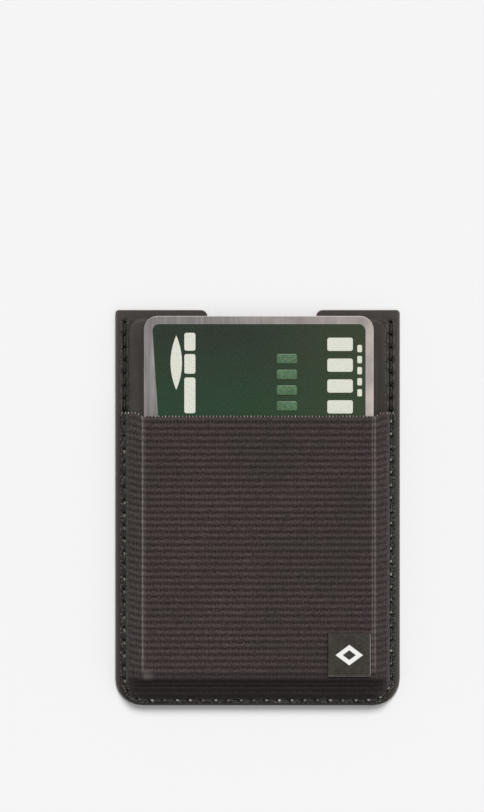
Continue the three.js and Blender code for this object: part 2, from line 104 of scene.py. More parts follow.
# Webbing: marks for its material, most of them painted light and shade. A pair is where one fades in or out,
# from full to none
LINE_OUT = 0.05 * MM  # from a ridge to the outer of its two pale lines
LINE_GAP = 0.6 * MM  # and from there to the inner one
NO_LINE = 1.0 * MM
OUTER_LINE = (0.05 * MM, 0.25 * MM)
INNER_LINE = (0.05 * MM, 0.2 * MM)
INNER_LEFT, INNER_RIGHT = 0.25, 0.8
LINE_FOOT = (0.5 * MM, 4 * MM)
LINE_STRENGTH = 0.75
FAN_START = (0, 0.4 * MM)
FAN_END = (0.8 * MM, 3.4 * MM)
FAN_FOOT = (-0.4 * MM, 0.6 * MM)
FAN_TOP = (1.0 * MM, 3.8 * MM)
FAN_STRENGTH = 0.95
CREASE_WIDTH = (0.1 * MM, 0.5 * MM)
CREASE_SIDE = (2 * MM, 5 * MM)
SHADE_TOP = (-0.1 * MM, 2.6 * MM)
SHADE_SIDE = (0.5 * MM, 4 * MM)
SLOPE_LIGHT_START = (-0.4 * MM, 0.6 * MM)
DARK_HOLE = 0.42 * MM
MARGIN_EXTRA = 0.3 * MM
MARGIN_END = (-0.1 * MM, 0.4 * MM)

# Rounding of a section: step, ends and blur
SECTION_STEP = 0.02 * MM
SECTION_ENDS = (-4 * MM, 14 * MM)
SIDE_BLUR = 0.12 * MM
BOTTOM_BLUR = 0.14 * MM
UNDER_BLUR = 0.02 * MM

# Cover: painted highlight along its burnished, rounded rim
COVER_RADIUS = 6.4 * MM
RIM_HIGHLIGHT_WIDTH = 0.75 * MM

# Lining: how far past the board its step stands
LINING_CLEARANCE = 0.3 * MM
STEP_FOOT = 1.35 * MM
STEP_SHOULDER = 0.95 * MM
STEP_CROWN = 0.6 * MM
BOARD_RADIUS = 3.0 * MM
LINING_TOP_RADIUS = 0.8 * MM
LINING_CORNER = 5.6 * MM
CUT_EDGE = 0.15 * MM
CUT_ROUND = 0.03 * MM
STEP_ROUND = 1.3
PUFF_DEPTH = 0.2 * MM
PUFF_REACH = 1.4 * MM
FIRST_SHARE = 0.08  # of the way from one outline to the next, where its rings begin
EDGE_SHARE = 0.04
FLANGE_RINGS = 16
STEP_RINGS = 12
TOP_RINGS = (0.3 * MM, -0.4 * MM, -2.0 * MM)
FOIL_GAP = 0.01 * MM

# Lining: marks for its material: wear, painted highlight and painted shade
EDGE_WEAR_AND_HIGHLIGHT = (0.05 * MM, 0.3 * MM)
EDGE_WEAR_AND_HIGHLIGHT_SHARE = 0.6
# Beside the thread: a painted highlight on the puffs between holes
PUFF_FROM_SEAM = 0.62 * MM
PUFF_WIDTH = (0.08 * MM, 0.34 * MM)
PUFF_LENGTH = 1.7 * MM
LEFT_PUFF_HIGHLIGHT = 0.35  # how much fainter it is on the left
CHANNEL_START = (0.45 * MM, 0.85 * MM)
CHANNEL_END = (0.75 * MM, 1.05 * MM)
CHANNEL_ABOVE = 0.6 * MM
GROOVE_WIDTH = (0.25 * MM, 0.7 * MM)
GROOVE_SHADE = 0.6
LINING_HOLE = 0.5 * MM

# Seam
SEAM_SIDE = 2.2 * MM
SEAM_BOTTOM = 1.4 * MM
SEAM_TOP = 2.9 * MM
SEAM_DEPTH = 0.32 * MM
SEAM_FLOOR = 0.1 * MM
SEAM_HALF = 0.55 * MM
HOLE_DEPTH = 0.25 * MM
HOLE_REACH = 0.45 * MM
HOLE_FLOOR = 0.4  # share of a hole's reach that is its floor
FAR = 1e9
CORNER_STEPS = 40

# Stitches
STITCH_PITCH = 3.0 * MM
STITCH_START, STITCH_SHARE = 0.06, 0.88  # part of the way between two holes that shows
STITCH_RISE = 0.16 * MM
STITCH_SINK = 0.3 * MM
RISE_SHAPE, SINK_SHAPE = 0.5, 0.35
STITCH_SLANT = 0.09 * MM
SLANT_SPREAD = 0.4
STITCH_STEPS = 14
PLY_RADIUS = 0.16 * MM
PLY_OFFSET = 0.85  # of its radius, from the thread's middle
PLY_TURNS = 1.7
PLY_SIDES = 7
SHINE_LEAST, SHINE_SPREAD, SHINE_SHAPE = 0.15, 0.7, 1.5
SHINE_RINGS = (1, 3)
SHINE_FACING = 0.3
LEFT_SHINE = 0.5
CLIMB = (-0.2 * MM, 0.5 * MM)  # from the mouth, where the thread comes down from the webbing
UPPER_GAP = 0.02 * MM
LOWER_HEIGHT = 0.47 * MM

# Loops that bind the mouth's edge
LOOP_SHARE = 0.985  # of the webbing's width
LOOP_JITTER = 0.08 * MM
LOOP_RADIUS, LOOP_SPREAD = 0.07, 0.035  # in millimetres
LOOP_START, LOOP_TURN = -35, 170  # in degrees
LOOP_REACH = 0.26 * MM
LOOP_BACK = 0.16 * MM
LOOP_UNDER = 0.3 * MM
LOOP_STEPS = 7
LOOP_SIDES = 5

# Card and its print
CARD_BORDER = 1.9 * MM
FIELD_RADIUS = 1.65 * MM
FIELD_LEAN = 0.065
FIELD_SINK = 0.05 * MM
INK = 0.012 * MM
PAD_HEIGHT = 0.22 * MM
PAD_EDGE = 0.16 * MM
PAD_TURNS = (0, 30, 60, 90)
PRINT_UNDER, PRINT_OVER = 0.2, 2.2  # in thicknesses of ink
OVAL_HALF = (1.35 * MM, 6.4 * MM)
OVAL_PLACE = (-19.4 * MM, 34.3 * MM)
OVAL_STEPS = 21
# Plain plates, in millimetres from the card's middle line: x, y, half width, half length, radius
STRIPS = [(-16.2, y, 1.3, half, 0.5) for y, half in ((39.2, 2.1), (34.0, 2.3), (26.6, 4.2))]
PADS = [(6.6, 35.2 - index * 3.7, 2.4, 1.15, 0.4) for index in range(4)]
BLOCKS = [(19.1, 38.6 - index * 4.9, 3.0, 1.55, 0.5) for index in range(4)]
DASHES = [(23.7, 37.6 - index * 2.6, 0.55, 0.85, 0.3) for index in range(5)]

# Rounded copies of solids
SAME_POINT = 1e-6
FLAT_ANGLE = math.radians(1)
SHARP_ANGLE = math.radians(25)
CREASE_ANGLE = math.radians(50)
ROUND_SEGMENTS = 3
COVER_ROUND = 0.07 * MM
CARD_ROUND = 0.12 * MM
LABEL_ROUND = 0.04 * MM
MARK_ROUND = 0.03 * MM
LIT_HEIGHT = 0.3 * MM  # above the label's lowest point, where its edge catches the light
LIT_TILT, LIT_SIDE = 0.95, 0.3

# Heights and places that follow
FLANGE_Z = cover_high[2] + (lining_high[2] - foil_top)
LINING_TOP_Z = lining_high[2]
CARD_TOP_Z = card_high[2]
WEB_FLANGE_Z = FLANGE_Z + WEB_THICK
WEB_TOP_Z = CARD_TOP_Z + WEB_THICK
MOUTH_Y = web_high[1] - MOUTH_RISE
WEB_HALF = web_high[0]
WEB_BOTTOM = web_low[1]
CORNER_X = WEB_HALF - WEB_CORNER
CORNER_Y = WEB_BOTTOM + WEB_CORNER
SEAM_X = cover_high[0] - SEAM_SIDE
SEAM_Y = cover_low[1] + SEAM_BOTTOM
SEAM_TOP_Y = cover_high[1] - SEAM_TOP
CARD_MIDDLE = (card_low[0] + card_high[0]) / 2

# Camera: straight above, at the photograph's framing
CAMERA_PLACE = (-3.7 * MM, 24.1 * MM, 450.9 * MM)
CAMERA_LENS = 84.2
CAMERA_CLIP = (0.01, 10)
SENSOR = 36.0

# Studio
FLOOR_REACH = 3.0
FLOOR_DROP = 0.02 * MM
FLOOR_TONES = (0.915, 0.925)
STUDIO_LIGHT = 0.33
STUDIO_TONE = 0.92

rng = np.random.default_rng(7)


def linear(*rgb):
    """Scene colour of an 8-bit sRGB colour."""
    shares = [c / 255 for c in rgb]
    return tuple(s / 12.92 if s <= 0.04045 else ((s + 0.055) / 1.055) ** 2.4 for s in shares) + (1.0,)


def ramp(value, low, high):
    t = np.clip((value - low) / (high - low), 0, 1)
    return t * t * (3 - 2 * t)


# Mesh helpers


def linked(name, data):
    obj = bpy.data.objects.new(name, data)
    bpy.context.scene.collection.objects.link(obj)
    return obj


def dress(obj, replaces=()):
    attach(obj, "root")
    if replaces:
        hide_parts(*replaces)
    return obj


def make_object(name, points, faces, material, slot, replaces=()):
    mesh = bpy.data.meshes.new(name)
    mesh.from_pydata([tuple(map(float, p)) for p in points], [], faces)
    mesh.materials.append(material)
    mesh.polygons.foreach_set("use_smooth", [True] * len(mesh.polygons))
    mesh.validate()
    return dress(linked(name, mesh), replaces)


def set_values(obj, name, values):
    """A number for each point of a mesh, for its material to read."""
    attribute = obj.data.attributes.new(name, "FLOAT", "POINT")
    attribute.data.foreach_set("value", np.asarray(values, np.float32))


def rounded_outline(half, top, bottom, top_radius, bottom_radius, corner=10, side=180, end=120):
    """Anticlockwise points, as many along each side and corner whatever the sizes are."""
    stops = [
        (half - bottom_radius, bottom + bottom_radius, bottom_radius, -90),
        (half - top_radius, top - top_radius, top_radius, 0),
        (-half + top_radius, top - top_radius, top_radius, 90),
        (-half + bottom_radius, bottom + bottom_radius, bottom_radius, 180),
    ]
    points = []
    for index, (x, y, radius, start) in enumerate(stops):
        turn = np.radians(start + np.linspace(0, 90, corner + 1))
        arc = np.stack([x + radius * np.cos(turn), y + radius * np.sin(turn)], axis=1)
        nx, ny, nr, ns = stops[(index + 1) % 4]
        away = math.radians(ns)
        goal = np.array([nx + nr * math.cos(away), ny + nr * math.sin(away)])
        count = side if index % 2 == 0 else end
        share = (np.arange(1, count) / count)[:, None]
        points += [arc, arc[-1] + (goal - arc[-1]) * share]
    return np.concatenate(points)


def at_height(outline, z):
    return np.column_stack([outline, np.full(len(outline), z)])


def tube_faces(first, rings, count, flip=False):
    """Faces of a closed tube of rings of points, numbered from the first one, with both ends filled."""
    faces = []
    for r in range(rings - 1):
        for i in range(count):
            a, b = first + r * count + i, first + r * count + (i + 1) % count
            faces.append((a, b, b + count, a + count))
    faces.append(tuple(first + i for i in reversed(range(count))))
    faces.append(tuple(first + (rings - 1) * count + i for i in range(count)))
    return [face[:1] + face[:0:-1] for face in faces] if flip else faces


def loft(rings):
    return np.concatenate(rings), tube_faces(0, len(rings), len(rings[0]))


def refined(node, width, material):
    """A copy of a node's solid with its sharp edges rounded."""
    bm = bmesh.new()
    bm.from_mesh(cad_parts[node].data)
    bmesh.ops.remove_doubles(bm, verts=bm.verts, dist=SAME_POINT)
    bmesh.ops.dissolve_limit(bm, angle_limit=FLAT_ANGLE, verts=bm.verts, edges=bm.edges)
    sharp = [e for e in bm.edges if len(e.link_faces) == 2 and e.calc_face_angle() > SHARP_ANGLE]
    bmesh.ops.bevel(
        bm, geom=sharp, offset=width, segments=ROUND_SEGMENTS, affect="EDGES", profile=0.5,
        clamp_overlap=True,
    )
    mesh = bpy.data.meshes.new(node + "_finish")
    bm.to_mesh(mesh)
    bm.free()
    mesh.materials.append(material)
    mesh.polygons.foreach_set("use_smooth", [True] * len(mesh.polygons))
    mesh.set_sharp_from_angle(angle=CREASE_ANGLE)
    obj = linked(node + "_finish", mesh)
    obj.modifiers.new("normals", "WEIGHTED_NORMAL").keep_sharp = True
    return dress(obj, (node,))


# Node helpers


class Nodes:
    def __init__(self, name):
        self.material = bpy.data.materials.new(name)
        self.material.use_nodes = True
        self.tree = self.material.node_tree
        self.shader = self.tree.nodes["Principled BSDF"]
        self.place = self.new("ShaderNodeTexCoord").outputs["Object"]

    def new(self, kind, **values):
        node = self.tree.nodes.new(kind)
        for key, value in values.items():
            setattr(node, key, value)
        return node

    def feed(self, socket, value):
        if isinstance(value, bpy.types.NodeSocket):
            self.tree.links.new(value, socket)
        elif value is not None:
            socket.default_value = value

    def math(self, operation, a, b=None):
        node = self.new("ShaderNodeMath", operation=operation)
        self.feed(node.inputs[0], a)
        self.feed(node.inputs[1], b)
        return node.outputs[0]

    def parts(self, vector):
        node = self.new("ShaderNodeSeparateXYZ")
        self.feed(node.inputs[0], vector)
        return node.outputs

    def texture(self, kind, scale, stretch, **values):
        mapping = self.new("ShaderNodeMapping")
        self.feed(mapping.inputs["Vector"], self.place)
        mapping.inputs["Scale"].default_value = stretch
        node = self.new(kind, **values)
        self.feed(node.inputs["Vector"], mapping.outputs[0])
        node.inputs["Scale"].default_value = scale
        return node

    def noise(self, scale, detail, stretch=(1, 1, 1)):
        node = self.texture("ShaderNodeTexNoise", scale, stretch)
        node.inputs["Detail"].default_value = detail
        return node.outputs["Fac"]

    def cells(self, scale, stretch):
        node = self.texture("ShaderNodeTexVoronoi", scale, stretch, feature="DISTANCE_TO_EDGE")
        return node.outputs["Distance"]

    def painted(self, name, share):
        """A value that the mesh has at each point, times a share."""
        value = self.new("ShaderNodeAttribute", attribute_name=name).outputs["Fac"]
        return self.math("MULTIPLY", value, share)

    def mix(self, factor, a, b):
        node = self.new("ShaderNodeMix", data_type="RGBA")
        self.feed(node.inputs[0], factor)
        self.feed(node.inputs[6], a)
        self.feed(node.inputs[7], b)
        return node.outputs[2]

    def layered(self, color, *layers):
        """Each layer is a factor and the colour that it brings."""
        for factor, over in layers:
            color = self.mix(factor, color, over)
        return color

    def spread(self, value, low, high, to_low=0.0, to_high=1.0):
        node = self.new("ShaderNodeMapRange")
        self.feed(node.inputs["Value"], value)
        node.inputs["From Min"].default_value = low
        node.inputs["From Max"].default_value = high
        node.inputs["To Min"].default_value = to_low
        node.inputs["To Max"].default_value = to_high
        return node.outputs["Result"]

    def bump(self, height, distance, strength):
        node = self.new("ShaderNodeBump")
        node.inputs["Strength"].default_value = strength
        node.inputs["Distance"].default_value = distance
        self.feed(node.inputs["Height"], height)
        return node.outputs[0]

    def finish(self, color, roughness, normal=None, metallic=0.0, specular=0.5, **more):
        self.feed(self.shader.inputs["Base Color"], color)
        self.feed(self.shader.inputs["Roughness"], roughness)
        self.feed(self.shader.inputs["Normal"], normal)
        self.shader.inputs["Metallic"].default_value = metallic
        self.shader.inputs["Specular IOR Level"].default_value = specular
        for key, value in more.items():
            self.shader.inputs[key.replace("_", " ")].default_value = value
        return self.material


# Materials


def leather(name, dark, light, wear_and_highlight, rim_highlight=False):
    """Reads the seam's channel, the wear and the holes from the mesh: painted shade with pale lint in the
    channel, wear with painted highlight, painted shade in the holes. Its last argument adds a painted
    highlight along the cover's burnished, rounded edge.
    """
    n = Nodes(name)
    lengthwise = (1, 0.55, 1)
    grain = n.cells(2600, lengthwise)
    pores = n.noise(5200, 4, lengthwise)
    cloud = n.noise(90, 3)
    streak = n.noise(900, 2, (1, 0.06, 1))
    fluff = n.noise(2300, 2)
    tone = n.math("ADD", n.spread(cloud, 0.3, 0.7, 0, 0.6), n.spread(streak, 0.3, 0.7, 0, 0.4))
    # Painted shade and pale lint in the seam's channel, wear with painted highlight, painted shade in the
    # holes
    color = n.layered(
        n.mix(tone, dark, light),
        (n.painted("channel_shade_and_lint", n.spread(streak, 0.3, 0.7, 0.6, 0.9)), linear(20, 17, 14)),
        (n.painted("channel_shade_and_lint", n.spread(fluff, 0.46, 0.62, 0, 0.5)), linear(104, 99, 92)),
        (n.painted("wear_and_highlight", n.spread(pores, 0.2, 0.8, 0.55, 1.0)), wear_and_highlight),
        (n.painted("hole_shade", 0.92), linear(12, 10, 8)),
    )
    # Painted highlight along the cover's rounded edge
    if rim_highlight:
        x, y, _ = n.parts(n.place)
        beyond = n.math("SUBTRACT", n.math("ABSOLUTE", x), cover_high[0] - COVER_RADIUS)
        below = n.math("SUBTRACT", cover_low[1] + COVER_RADIUS, y)
        squares = [n.math("POWER", n.math("MAXIMUM", part, 0.0), 2.0) for part in (beyond, below)]
        reach = n.math("SQRT", n.math("ADD", *squares))
        near_edge = n.spread(reach, COVER_RADIUS - RIM_HIGHLIGHT_WIDTH, COVER_RADIUS - 0.4 * RIM_HIGHLIGHT_WIDTH)
        color = n.mix(n.math("MULTIPLY", near_edge, n.spread(pores, 0.2, 0.8, 0.4, 0.9)), color, wear_and_highlight)
    height = n.math("ADD", n.spread(grain, 0, 0.12, 0, 1), n.math("MULTIPLY", pores, 0.8))
    rough = n.spread(pores, 0.3, 0.7, 0.46, 0.62)
    return n.finish(color, rough, n.bump(height, 0.035 * MM, 0.55), specular=0.24)


def webbing_material():
    """Reads the weave coordinate, where U counts warp yarns and V counts ribs, and the mesh's marks."""
    n = Nodes("ribbed_elastic")
    across, down, _ = n.parts(n.new("ShaderNodeUVMap", uv_map="weave").outputs["UV"])

    def wave(value, cycles):
        return n.spread(n.math("COSINE", n.math("MULTIPLY", value, 2 * math.pi * cycles)), -1, 1)

    crest = wave(down, 1.0)
    yarn = wave(across, 1.0)
    ply = wave(across, 3.0)
    # Crests lighter than the valleys between them: painted shade in the valleys
    rib_shading = n.math("POWER", crest, 0.75)
    slant = n.math("ABSOLUTE", n.math("SUBTRACT", n.math("FRACT", across), 0.5))
    chevron = wave(n.math("ADD", n.math("MULTIPLY", down, 2.0), n.math("MULTIPLY", slant, 1.6)), 1.0)
    # Painted shade in the gaps between crests and yarns
    gap_shade = n.math("MULTIPLY", n.math("SUBTRACT", 1.0, crest), n.math("SUBTRACT", 1.0, yarn))
    gap_shade = n.math("POWER", gap_shade, 1.6)
    dust = n.noise(1500, 3)
    speckle = n.noise(2300, 2)
    cloud = n.noise(75, 2)
    patchy = n.noise(420, 2)
    chevron = n.math("MULTIPLY", chevron, n.spread(patchy, 0.35, 0.65, 0.05, 0.4))
    gap_shade = n.math("MULTIPLY", gap_shade, n.spread(patchy, 0.35, 0.7, 0.15, 0.75))
    # After the painted shade of the valleys: painted light on the slopes, specks, chevrons and cloud, painted
    # shade in the gaps, painted highlight on the ridges, painted shade in and below the fold, painted shade
    # with lint in the margin, painted shade in the holes
    color = n.layered(
        n.mix(rib_shading, linear(42, 33, 33), linear(63, 54, 53)),
        (n.painted("slope_light", 0.7), linear(63, 56, 55)),
        (n.spread(speckle, 0.42, 0.72, 0, 0.6), linear(92, 81, 80)),
        (n.spread(speckle, 0.5, 0.3, 0, 0.4), linear(34, 26, 26)),
        (chevron, linear(84, 73, 72)),
        (n.spread(cloud, 0.35, 0.7, 0, 0.3), linear(46, 41, 39)),
        (gap_shade, linear(18, 12, 12)),
        (n.painted("ridge", n.spread(dust, 0.25, 0.7, 0.45, 1.0)), linear(134, 126, 125)),
        (n.painted("shade", 0.62), linear(20, 16, 16)),
        (n.painted("crease_shade", 0.7), linear(12, 9, 9)),
        (n.painted("margin_shade_and_lint", 0.8), linear(34, 31, 28)),
        (n.painted("margin_shade_and_lint", n.spread(speckle, 0.5, 0.66, 0, 0.6)), linear(122, 118, 112)),
        (n.painted("hole_shade", 0.9), linear(8, 7, 6)),
    )
    fine = n.math("ADD", n.math("MULTIPLY", ply, 0.5), n.math("MULTIPLY", speckle, 1.2))
    rough = n.spread(dust, 0.2, 0.8, 0.72, 0.92)
    sheen = {"Sheen_Weight": 0.06, "Sheen_Roughness": 0.5}
    return n.finish(color, rough, n.bump(fine, 0.06 * MM, 0.8), specular=0.1, **sheen)


def thread_material(name, dark, light):
    """Reads glint from the mesh."""
    n = Nodes(name)
    fibre = n.noise(9000, 3)
    color = n.mix(n.spread(n.noise(800, 2), 0.3, 0.7), dark, light)
    color = n.mix(n.painted("glint", 1.0), color, linear(205, 200, 192))
    normal = n.bump(fibre, 0.02 * MM, 0.5)
    return n.finish(color, n.spread(fibre, 0.2, 0.8, 0.32, 0.55), normal, specular=0.45)


def rubber_material(name, dark, light, rough=(0.5, 0.68)):
    n = Nodes(name)
    fine = n.noise(6000, 4)
    cloud = n.noise(260, 3)
    grit = n.noise(2400, 3)
    tone = n.math("ADD", n.spread(cloud, 0.3, 0.7, 0, 0.5), n.spread(grit, 0.35, 0.65, 0, 0.5))
    normal = n.bump(fine, 0.03 * MM, 0.6)
    return n.finish(n.mix(tone, dark, light), n.spread(fine, 0.2, 0.8, *rough), normal, specular=0.2)


def metal_material(name, dark, light, grain_stretch, rough):
    n = Nodes(name)
    brushed = n.noise(1800, 4, grain_stretch)
    color = n.mix(n.spread(n.noise(120, 2), 0.3, 0.7), dark, light)
    normal = n.bump(brushed, 0.006 * MM, 0.5)
    return n.finish(color, n.spread(brushed, 0.2, 0.8, *rough), normal, metallic=1.0)


def plastic_material(name, dark, light):
    n = Nodes(name)
    fine = n.noise(3500, 3)
    color = n.mix(n.spread(n.noise(150, 2), 0.3, 0.7), dark, light)
    return n.finish(color, n.spread(fine, 0.2, 0.8, 0.42, 0.6), n.bump(fine, 0.02 * MM, 0.4), specular=0.4)


def card_silver():
    n = Nodes("card_silver")
    x, y, _ = n.parts(n.place)
    brushed = n.noise(1600, 4, (1, 0.05, 1))
    patch = n.noise(160, 2)
    facing = n.parts(n.new("ShaderNodeTexCoord").outputs["Normal"])[2]
    color = n.layered(
        n.mix(n.spread(x, -26 * MM, 27 * MM), linear(106, 106, 105), linear(194, 180, 175)),
        (n.spread(brushed, 0.35, 0.7, 0, 0.36), linear(196, 189, 186)),
        (n.spread(patch, 0.42, 0.66, 0, 0.45), linear(112, 105, 105)),
        # Painted shade towards the top of the card
        (n.spread(y, 36 * MM, 44 * MM, 0, 0.34), linear(92, 90, 88)),
        # Painted highlight on the rounded edges, which tilt away from straight up
        (n.spread(facing, 0.97, 0.8, 0, 0.7), linear(224, 218, 214)),
    )
    normal = n.bump(brushed, 0.006 * MM, 0.5)
    return n.finish(color, n.spread(brushed, 0.2, 0.8, 0.3, 0.45), normal, metallic=0.15)


def card_green():
    n = Nodes("card_green")
    x, y, _ = n.parts(n.place)
    fine = n.noise(2600, 3)
    cloud = n.noise(110, 3)
    color = n.layered(
        n.mix(n.spread(y, 41 * MM, 22 * MM), linear(30, 39, 29), linear(29, 57, 34)),
        (n.math("MULTIPLY", n.spread(x, -2 * MM, 20 * MM), 0.7), linear(51, 60, 38)),
        (n.spread(cloud, 0.4, 0.7, 0, 0.3), linear(30, 54, 42)),
        (n.spread(fine, 0.45, 0.75, 0, 0.3), linear(66, 82, 62)),
    )
    return n.finish(color, n.spread(fine, 0.2, 0.8, 0.28, 0.4), n.bump(fine, 0.004 * MM, 0.4), specular=0.22)


def card_print(name, color, shade):
    n = Nodes(name)
    fine = n.noise(2400, 3)
    tone = n.mix(n.spread(fine, 0.35, 0.75), color, shade)
    return n.finish(tone, n.spread(fine, 0.2, 0.8, 0.3, 0.42), n.bump(fine, 0.004 * MM, 0.3))


cover_leather = leather("cover_leather", linear(52, 47, 43), linear(66, 60, 56), linear(88, 84, 80), rim_highlight=True)
lining_leather = leather("lining_leather", linear(29, 25, 22), linear(64, 58, 53), linear(86, 82, 77))
elastic = webbing_material()
dark_thread = thread_material("seam_thread", linear(20, 17, 14), linear(46, 42, 37))
# The binding thread is pale: painted highlight where its turns catch the light
lit_mouth_thread = thread_material("lit_mouth_thread", linear(110, 104, 102), linear(190, 184, 180))
label_rubber = rubber_material("label_rubber", linear(33, 29, 25), linear(66, 62, 56))
label_lit = rubber_material("label_lit_edge", linear(130, 126, 120), linear(158, 154, 148))
mark_rubber = rubber_material("mark_rubber", linear(238, 235, 230), linear(246, 244, 240), (0.4, 0.55))
board_plastic = plastic_material("board_plastic", linear(28, 29, 31), linear(38, 39, 42))
nickel = metal_material("magnet_nickel", linear(176, 177, 180), linear(196, 196, 198), (1, 1, 1), (0.18, 0.3))
steel = metal_material(
    "backing_steel", linear(132, 134, 137), linear(150, 151, 153), (1, 0.05, 1), (0.28, 0.42)
)
silver = card_silver()
green = card_green()
pale_print = card_print("card_pale_print", linear(226, 226, 214), linear(206, 208, 196))
foil_print = card_print("card_foil_print", linear(80, 114, 80), linear(40, 66, 44))


# Seam route, sampled evenly: down the left side, round the bottom, up the right side
def seam_points(step):
    across, down = SEAM_X - CORNER_X, CORNER_Y - SEAM_Y
    turn = np.radians(np.linspace(180, 270, CORNER_STEPS))
    left = np.stack([-CORNER_X + across * np.cos(turn), CORNER_Y + down * np.sin(turn)], axis=1)
    right = left[::-1] * [-1, 1]
    route = np.concatenate([[[-SEAM_X, SEAM_TOP_Y]], left, right, [[SEAM_X, SEAM_TOP_Y]]])
    length = np.concatenate([[0], np.cumsum(np.linalg.norm(np.diff(route, axis=0), axis=1))])
    count = max(1, round(length[-1] / step))
    at = np.linspace(0, length[-1], count + 1)
    return np.stack([np.interp(at, length, route[:, k]) for k in range(2)], axis=1)


stitch_holes = seam_points(STITCH_PITCH)


def seam_distance(x, y):
    side = np.abs(np.abs(x) - SEAM_X)
    bottom = np.abs(y - SEAM_Y)
    across = (np.abs(x) - CORNER_X) / (SEAM_X - CORNER_X)
    down = (CORNER_Y - y) / (CORNER_Y - SEAM_Y)
    corner = np.abs(np.hypot(across, down) - 1) * (SEAM_X - CORNER_X)
    out = np.where(y >= CORNER_Y, side, np.where(np.abs(x) <= CORNER_X, bottom, corner))
    return np.where(y > SEAM_TOP_Y, np.hypot(side, y - SEAM_TOP_Y), out)


def seam_dip(x, y):
    return SEAM_DEPTH * (1 - ramp(seam_distance(x, y), SEAM_FLOOR, SEAM_HALF))


def hole_nearness(x, y, reach):
    """1 at a stitch hole, 0 from the given distance outwards."""
    near = np.full(x.shape, FAR)
    for hx, hy in stitch_holes:
        near = np.minimum(near, np.hypot(x - hx, y - hy))
    return 1 - ramp(near, reach * HOLE_FLOOR, reach)


# Pocket webbing


def web_edge_x(y):
    down = np.maximum(CORNER_Y - y, 0)
    return CORNER_X + np.sqrt(np.maximum(WEB_CORNER**2 - down**2, 0))


def web_edge_y(x):
    out = np.clip(np.abs(x) - CORNER_X, 0, WEB_CORNER)
    return CORNER_Y - np.sqrt(WEB_CORNER**2 - out**2)


def rounded_section(points, blur):
    """A section of straight stretches with its bends rounded over a distance."""
    points = np.array(points, float)
    at = np.arange(*SECTION_ENDS, SECTION_STEP)
    height = np.interp(at, points[:, 0], points[:, 1])
    width = np.arange(-3 * blur, 3 * blur, SECTION_STEP)
    kernel = np.exp(-0.5 * (width / blur) ** 2)
    kernel /= kernel.sum()
    padded = np.pad(height, len(kernel) // 2, mode="edge")
    return at, np.convolve(padded, kernel, mode="valid")[: len(at)]


# Distances in from the webbing's edge
board_half = board_high[0]
shoulder_in = WEB_HALF - board_half - STEP_SHOULDER
foot_in = WEB_HALF - board_half - STEP_FOOT - DRAPE_GAP
bottom_shoulder = board_low[1] - STEP_SHOULDER - WEB_BOTTOM
bottom_crown = board_low[1] - STEP_CROWN - WEB_BOTTOM
bottom_card = card_low[1] - CARD_EASE - WEB_BOTTOM


def ridge_in(side):
    edge = card_high[0] if side > 0 else -card_low[0]
    return WEB_HALF - edge - CARD_EASE


def side_top(side):
    ridge = ridge_in(side)
    return rounded_section(
        [
            (0, WEB_FLANGE_Z - SELVEDGE),
            (SELVEDGE_WIDTH, WEB_FLANGE_Z),
            (foot_in - FOLD_EASE, WEB_FLANGE_Z),
            (shoulder_in - DRAPE_GAP / 2 - FOLD_EASE, LINING_TOP_Z + SIDE_CREASE * WEB_THICK),
            (shoulder_in + BEND_EASE, LINING_TOP_Z + DRAPE_GAP + SIDE_BEND * WEB_THICK),
            (ridge - RIDGE_LEAD, WEB_TOP_Z - RIDGE_DROP),
            (ridge, WEB_TOP_Z + RIDGE_PROUD),
            (ridge + RIDGE_FALL, WEB_TOP_Z),
        ],
        SIDE_BLUR,
    )


def side_under(side):
    return rounded_section(
        [
            (0, FLANGE_Z),
            (foot_in, FLANGE_Z),
            (shoulder_in - DRAPE_GAP / 2, LINING_TOP_Z + DRAPE_GAP / 2),
            (ridge_in(side), CARD_TOP_Z),
        ],
        UNDER_BLUR,
    )


SIDE_TOP = {side: side_top(side) for side in (-1, 1)}
SIDE_UNDER = {side: side_under(side) for side in (-1, 1)}
BOTTOM_TOP = rounded_section(
    [
        (0, WEB_FLANGE_Z - SELVEDGE),
        (SELVEDGE_WIDTH, WEB_FLANGE_Z),
        (SEAM_LEDGE, WEB_FLANGE_Z),
        (bottom_shoulder, LINING_TOP_Z + BOTTOM_CREASE * WEB_THICK),
        (bottom_crown + DRAPE_GAP, WEB_TOP_Z - ROUND_DROP),
        (bottom_card + ROUND_THIRD, WEB_TOP_Z - ROUND_END),
        (bottom_card + ROUND_UNDER, WEB_TOP_Z),
    ],
    BOTTOM_BLUR,
)
BOTTOM_UNDER = rounded_section(
    [
        (0, FLANGE_Z),
        (SEAM_LEDGE - SELVEDGE, FLANGE_Z),
        (bottom_shoulder - DRAPE_GAP, LINING_TOP_Z),
        (bottom_crown, LINING_TOP_Z + DRAPE_GAP),
        (bottom_card, CARD_TOP_Z),
    ],
    UNDER_BLUR,
)


def web_base(x, y, sides, bottom):
    """Height of the webbing's face without its ribs."""
    across = web_edge_x(y) - np.abs(x)
    down = y - web_edge_y(x)
    left = np.interp(across, *sides[-1])
    right = np.interp(across, *sides[1])
    return np.minimum(np.where(x < 0, left, right), np.interp(down, *bottom))


def card_edge(x):
    """How far out the webbing stays level over the card, on the side of a point."""
    return np.where(x < 0, -card_low[0], card_high[0]) + CARD_EASE


def lifted(x, y):
    """Where a row of the weave stands: higher at both sides than in the middle."""
    # Below the mouth the ribs climb more gently, over the whole of the slope
    ease = MOUTH_EASE + (SLOPE_EASE - MOUTH_EASE) * ramp(MOUTH_Y - y, 0, SLOPE_START)
    rise = ramp(np.abs(x) - card_edge(x), 0, ease)
    return y + MOUTH_RISE * rise * ramp(y, WEB_BOTTOM + SEAM_LEDGE, WEB_BOTTOM + 2 * WEB_CORNER)


